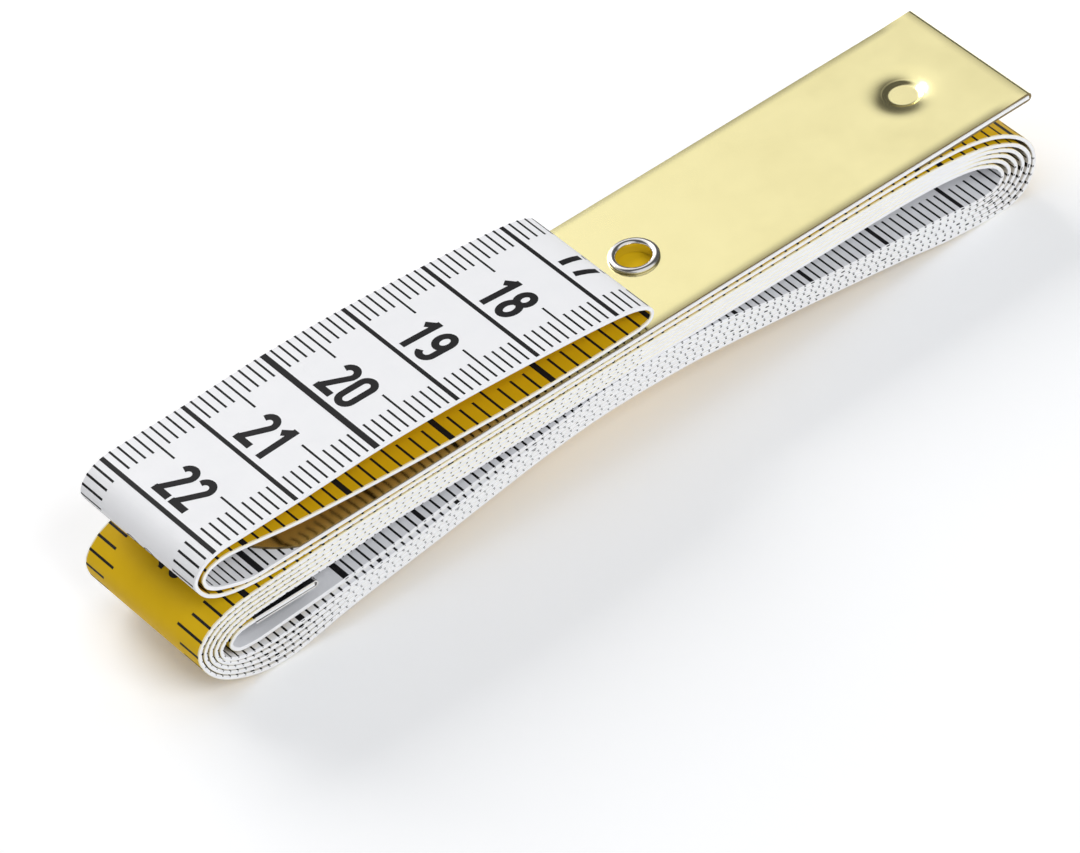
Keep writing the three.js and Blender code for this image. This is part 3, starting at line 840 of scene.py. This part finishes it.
def worn_side(x, y):
    """How far shearing and handling rolled the long top edges over. The fold stays straight."""
    near_side = np.clip((np.abs(y) - plate_half) / roll_over + 1, 0, 1)
    return -roll_drop * near_side ** 2 * np.clip((-np.asarray(x) - fold_radius) / fade_in, 0, 1)


def ring_at(x, radius):
    """A ring of points round a place on the plate's middle line."""
    return sweep(x, 0, radius, radius, 0, 360, ring_points)[:-1]


plan, loops = [], []
round_seat = [ring_at(eyelet_x, radius) for radius in seat_rings]
round_dish = [ring_at(dimple_x, radius) for radius in dish_rings]
for loop in [plan_edge, *round_seat, *round_dish]:
    loops.append(list(range(len(plan), len(plan) + len(loop))))
    plan += loop
sides = [(a, b) for loop in loops[1:] for a, b in zip(loop, loop[1:] + loop[:1])]
plan.append((dimple_x, 0))
for x in cross_lines:
    sides.append((len(plan), len(plan) + 1))
    plan += [(x, -plate_half), (x, plate_half)]
for inset in np.linspace(first_inset, roll_over, inset_lines):
    for y in (inset - plate_half, plate_half - inset):
        sides.append((len(plan), len(plan) + 1))
        arc_x = arc_middle - math.sqrt(arc_radius ** 2 - y ** 2)
        plan += [(cross_lines[0], y), (arc_x + arc_clear, y)]
found = delaunay_2d_cdt([Vector(p) for p in plan], sides, loops[:1], 0, 1e-6, True)
plan = np.array([v[:] for v in found[0]])
sheet_faces = []
for face, source in zip(found[2], found[5]):
    centre = plan[list(face)].mean(0)
    if source and np.hypot(centre[0] - eyelet_x, centre[1]) > seat_rings[0] * 0.99:
        sheet_faces.append(list(face))
print("plate's face:", len(sheet_faces), "triangles")

# %% Thickness, folded end and return leaf
leaf_length, fold_steps = 15.0, 12
edge_round, sharp_over, round_over = 0.05, 40, 60
# Index of the cut sides, which get the brass painted dark as a painted reflection.
PAINTED_DARK_EDGE = 1
work = bmesh.new()
drop = dish(*plan.T)
top = [work.verts.new(p) for p in in_frame(plan[:, 0], plan[:, 1], drop + worn_side(*plan.T))]
bottom = [work.verts.new(p) for p in in_frame(plan[:, 0], plan[:, 1], drop - plate_sheet)]
for face in sheet_faces:
    work.faces.new([top[i] for i in face])
    work.faces.new([bottom[i] for i in reversed(face)])
directed = {(a, b) for f in sheet_faces for a, b in zip(f, f[1:] + f[:1])}
for a, b in directed:
    at_fold = abs(plan[a][0] + fold_radius) + abs(plan[b][0] + fold_radius) < 1e-6
    if (b, a) not in directed and not at_fold:
        work.faces.new([top[b], top[a], bottom[a], bottom[b]]).material_index = PAINTED_DARK_EDGE
turn = np.linspace(0, math.pi, fold_steps + 1)
fold_rows = []
for radius in (fold_radius, fold_radius - plate_sheet):
    x = np.append(-fold_radius + radius * np.sin(turn), -leaf_length)
    z = np.append(-fold_radius + radius * np.cos(turn), -fold_radius - radius)
    fold_rows.append([[work.verts.new(p) for p in in_frame(x, side, z)]
                      for side in (-plate_half, plate_half)])
(outer_a, outer_b), (inner_a, inner_b) = fold_rows
for i in range(fold_steps + 1):
    for a, b in ((outer_a, outer_b), (inner_b, inner_a)):
        work.faces.new([a[i], a[i + 1], b[i + 1], b[i]])
    for a, b in ((outer_b, inner_b), (inner_a, outer_a)):
        work.faces.new([a[i], a[i + 1], b[i + 1], b[i]]).material_index = PAINTED_DARK_EDGE
work.faces.new([outer_a[-1], inner_a[-1], inner_b[-1], outer_b[-1]]).material_index = PAINTED_DARK_EDGE
bmesh.ops.remove_doubles(work, verts=work.verts, dist=1e-7)
loose = [v for v in work.verts if not v.link_faces]
bmesh.ops.delete(work, geom=loose, context="VERTS")
bmesh.ops.recalc_face_normals(work, faces=work.faces)
plate_mesh = bpy.data.meshes.new("brass_plate")
work.to_mesh(plate_mesh)
open_edges = sum(1 for e in work.edges if len(e.link_faces) != 2)
work.free()
plate_mesh.materials.append(brass)
plate_mesh.materials.append(edge_brass_painted_dark)
plate_mesh.shade_smooth()
plate_mesh.set_sharp_from_angle(angle=math.radians(sharp_over))
brass_plate = bpy.data.objects.new("brass_plate", plate_mesh)
bpy.context.scene.collection.objects.link(brass_plate)
rounding = brass_plate.modifiers.new("rounded_edges", "BEVEL")
rounding.width, rounding.segments = edge_round * MM, 2
rounding.angle_limit = math.radians(round_over)
rounding.harden_normals = True
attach(brass_plate, "plate_end")
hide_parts("end_plate")
print("brass plate:", len(plate_mesh.polygons), "faces,", open_edges, "open edges")

# %% [markdown]
# ## The eyelet and the tail clip
# The eyelet is a turned shape, so its half section is spun round. The clip is a scrap of bright sheet folded
# round the tape's inner end, so its side view is pushed across the tape. Its flat leaves are painted dark,
# as painted shade for the narrow slit they sit in.

# %% Spin the eyelet
bore, barrel, rim, crown_foot, crown_high = 1.85, 2.1, 2.7, 0.12, 0.5
under_strip, curl, curl_half, curl_out = -0.78, 0.22, 0.2, 0.02
rim_middle, rim_half = (bore + rim) / 2, (rim - bore) / 2
top_curve = sweep(rim_middle, crown_foot, rim_half, crown_high - crown_foot, 180, 0, 14)
rolled_end = sweep(barrel + curl_half + curl_out, under_strip, curl_half, -curl, 0, 180, 8)
profile = np.array([(bore, under_strip - 0.6 * curl), *top_curve, (rim - 0.06, 0.02), (barrel, 0.01),
                    (barrel, under_strip + 0.01), *rolled_end])
spin = np.radians(np.linspace(0, 360, 97)[:-1])
rings = in_frame(eyelet_x + profile[:, :1] * np.cos(spin), profile[:, :1] * np.sin(spin), profile[:, 1:])
index = np.arange(rings.shape[0] * rings.shape[1]).reshape(rings.shape[:2])
ahead, around = np.roll(index, -1, axis=0), np.roll(index, -1, axis=1)
faces = np.stack([index, around, np.roll(ahead, -1, axis=1), ahead], -1).reshape(-1, 4)
eyelet_ring = add_mesh("eyelet_ring", rings.reshape(-1, 3), faces, [nickel], smooth_below=50)
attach(eyelet_ring, "plate_end")
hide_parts("eyelet")
print("eyelet:", len(faces), "faces")

# %% Fold the tail clip
tip = route[-1]
clip_half, clip_gap, clip_sheet, past_tip = tape_width / 2, 0.02, 0.18, 0.05
clip_reach = (clip_high.x - clip_low.x) / MM - clip_sheet
inside = half_thick + clip_gap
outside = inside + clip_sheet
outer_bend = sweep(past_tip, 0, outside, outside, -90, 90, 12)
inner_bend = sweep(past_tip, 0, inside, inside, 90, -90, 12)
view = np.array([(-clip_reach, -outside), *outer_bend, (-clip_reach, outside),
                 (-clip_reach, inside), *inner_bend, (-clip_reach, -inside)])
ends = [in_frame(tip[0] + view[:, 0], tip[2] + side, tip[1] + view[:, 1])
        for side in (-clip_half, clip_half)]
count = len(view)
faces = [[i, (i + 1) % count, (i + 1) % count + count, i + count] for i in range(count)]
faces += [list(range(count))[::-1], list(range(count, 2 * count))]
# The flat leaves get the steel painted dark as painted shade. The fold and the cut ends stay bright nickel.
on_leaf = np.abs(np.roll(view[:, 0], -1) - view[:, 0]) > 1
finish = np.append(on_leaf, [0, 0])
tail_clip = add_mesh("tail_clip_metal", np.vstack(ends), faces, [nickel, steel_painted_shade], finish)
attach(tail_clip, "roll")
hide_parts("tail_clip")
print("tail clip at", [round(v, 2) for v in tip])

# %% [markdown]
# ## Floor, light and camera
# The roll lies on a white table under soft light from behind, with a fill from the front. The table's own
# colour is pale. For the camera and for mirror images it glows up to white, and in front it keeps the
# shadow. Behind the roll it glows more, a painted light that clears the shade falling there.

# %% A white table
def see_rays(tree):
    """1 for rays from the camera and for mirror images, so metal shows the same white table."""
    paths = add_node(tree, "ShaderNodeLightPath").outputs
    return calculated(tree, "MAXIMUM", paths["Is Camera Ray"], paths["Is Glossy Ray"])


def soft_step(tree, source, start, end, low, high):
    """Goes gently from low to high while the source goes from start to end."""
    span = {"Value": source, "From Min": start, "From Max": end, "To Min": low, "To Max": high}
    node = add_node(tree, "ShaderNodeMapRange", span, interpolation_type="SMOOTHSTEP")
    return node.outputs["Result"]


# The stronger glow behind the roll is painted light over the shade that falls there.
front_lift, painted_light_behind, lift_from, lift_to = 0.13, 0.3, -0.004, 0.014
floor_z = cad_box[0][2]
bpy.ops.mesh.primitive_plane_add(size=6, location=(0, 0, floor_z))
table = bpy.context.object
table.name = "table"
table_finish, tree, shader = start_finish("table", (0.87, 0.875, 0.89), 0.9, Specular_IOR_Level=0.1)
place = add_node(tree, "ShaderNodeTexCoord").outputs["Object"]
depth = add_node(tree, "ShaderNodeSeparateXYZ", {0: place}).outputs["Y"]
table_glow = soft_step(tree, depth, lift_from, lift_to, front_lift, painted_light_behind)
lift = add_node(tree, "ShaderNodeEmission", {"Strength": ranged(tree, see_rays(tree), 0.0, table_glow)})
both = add_node(tree, "ShaderNodeAddShader", {0: shader.outputs[0], 1: lift.outputs[0]})
tree.links.new(both.outputs[0], tree.nodes["Material Output"].inputs["Surface"])
table.data.materials.append(table_finish)

# %% [markdown]
# Bright metal shows what stands round it. So mirror images see a softbox behind the roll, a dark card beside
# it and a window behind the viewer. The camera sees plain white, and all other rays get a weaker light.

# %% Surroundings
def towards(tree, way, direction):
    """How well a ray's way agrees with a direction, 1 at best."""
    inputs = {0: way, 1: direction}
    return add_node(tree, "ShaderNodeVectorMath", inputs, operation="DOT_PRODUCT").outputs["Value"]


even_light = 0.38
world = bpy.data.worlds.new("studio")
bpy.context.scene.world = world
world.use_nodes = True
tree = world.node_tree
back = tree.nodes["Background"]
back.inputs["Color"].default_value = (1, 1, 1, 1)
paths = add_node(tree, "ShaderNodeLightPath").outputs
way = add_node(tree, "ShaderNodeTexCoord").outputs["Generated"]
softbox = soft_step(tree, towards(tree, way, (0, 0.86, 0.51)), 0.64, 0.86, 0.05, 1.0)
dark_card = soft_step(tree, towards(tree, way, (0.76, 0.63, 0.15)), 0.84, 0.93, 1.0, 0.12)
window = soft_step(tree, towards(tree, way, (0, -0.94, 0.34)), 0.5, 0.8, 0.1, 0.8)
shaped = calculated(tree, "MAXIMUM", calculated(tree, "MULTIPLY", softbox, dark_card), window)
mirrored = ranged(tree, paths["Is Glossy Ray"], even_light, shaped)
tree.links.new(ranged(tree, paths["Is Camera Ray"], mirrored, 1.0), back.inputs["Strength"])


# %% Lamps
def add_lamp(name, place, size, power, color=(1, 1, 1)):
    """A soft square lamp that faces the roll."""
    lamp = bpy.data.lights.new(name, "AREA")
    lamp.size, lamp.energy, lamp.color = size, power, color
    made = bpy.data.objects.new(name, lamp)
    made.location = place
    made.rotation_euler = (-Vector(place)).to_track_quat("-Z", "Y").to_euler()
    bpy.context.scene.collection.objects.link(made)
    return made


add_lamp("softbox", (0, 0.68, 0.45), 0.5, 4.2, (1, 0.98, 0.95))
front_fill = add_lamp("front_fill", (0.08, -0.72, 0.58), 0.6, 5.3, (0.95, 0.975, 1))
front_fill.visible_glossy = False
bpy.context.scene.view_settings.view_transform = "Standard"

# %% Camera
camera_place = in_frame(-361.084, -471.17, 497.348)
look = Vector((0.39833, 0.62153, -0.67456))
camera_tilt = math.radians(-8.5)
camera = bpy.data.cameras.new("camera")
camera.sensor_width = 36
camera.lens = 249.3
camera.clip_start, camera.clip_end = 0.05, 20
view = bpy.data.objects.new("camera", camera)
view.location = camera_place
view.rotation_euler = (look.to_track_quat("-Z", "Y") @ Euler((0, 0, camera_tilt)).to_quaternion()).to_euler()
bpy.context.scene.collection.objects.link(view)
bpy.context.scene.camera = view
bpy.context.view_layer.update()
print("camera's right:", [round(v, 4) for v in view.matrix_world.col[0][:3]])
